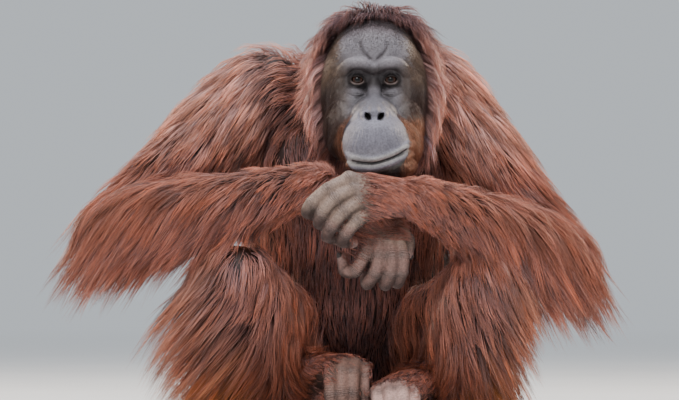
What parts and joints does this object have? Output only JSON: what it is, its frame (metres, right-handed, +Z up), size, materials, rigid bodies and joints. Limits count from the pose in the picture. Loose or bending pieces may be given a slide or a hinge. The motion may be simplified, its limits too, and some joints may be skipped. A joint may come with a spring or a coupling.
{
  "type": "orangutan",
  "caption": "Life-size still model of a sitting female orangutan, chin resting on its folded hands, arms on its knees, in a long shaggy coat.",
  "frame": {"origin": "middle of the seat, on the floor", "axes": "+X towards the animal's left elbow, -Y the way it faces, +Z up"},
  "size_m": [0.8064, 0.5397, 0.5938],
  "materials": {
    "coat": "long shaggy red-brown hair, orange where the sun is on it",
    "face": "bare grey skin, finely wrinkled, satin",
    "hand": "grey-brown creased skin",
    "ear": "bare brown-grey skin",
    "eye": "wet and glossy, brown"
  },
  "bodies": {
    "root": {"torso": "coat", "neck": "coat", "head": "face", "eye_right": "eye", "eye_left": "eye", "ear_right": "ear", "ear_left": "ear", "upper_arm_right": "coat", "forearm_right": "coat", "palm_right": "hand", "finger_thumb_right": "hand", "finger_index_right": "hand", "finger_middle_right": "hand", "finger_ring_right": "hand", "finger_little_right": "hand", "upper_arm_left": "coat", "forearm_left": "coat", "palm_left": "hand", "finger_thumb_left": "hand", "finger_index_left": "hand", "finger_middle_left": "hand", "finger_ring_left": "hand", "finger_little_left": "hand", "thigh_right": "coat", "shank_right": "coat", "foot_right": "hand", "hallux_right": "hand", "toe_1_right": "hand", "toe_2_right": "hand", "toe_3_right": "hand", "toe_4_right": "hand", "thigh_left": "coat", "shank_left": "coat", "foot_left": "hand", "hallux_left": "hand", "toe_1_left": "hand", "toe_2_left": "hand", "toe_3_left": "hand", "toe_4_left": "hand"}
  },
  "joints": []
}
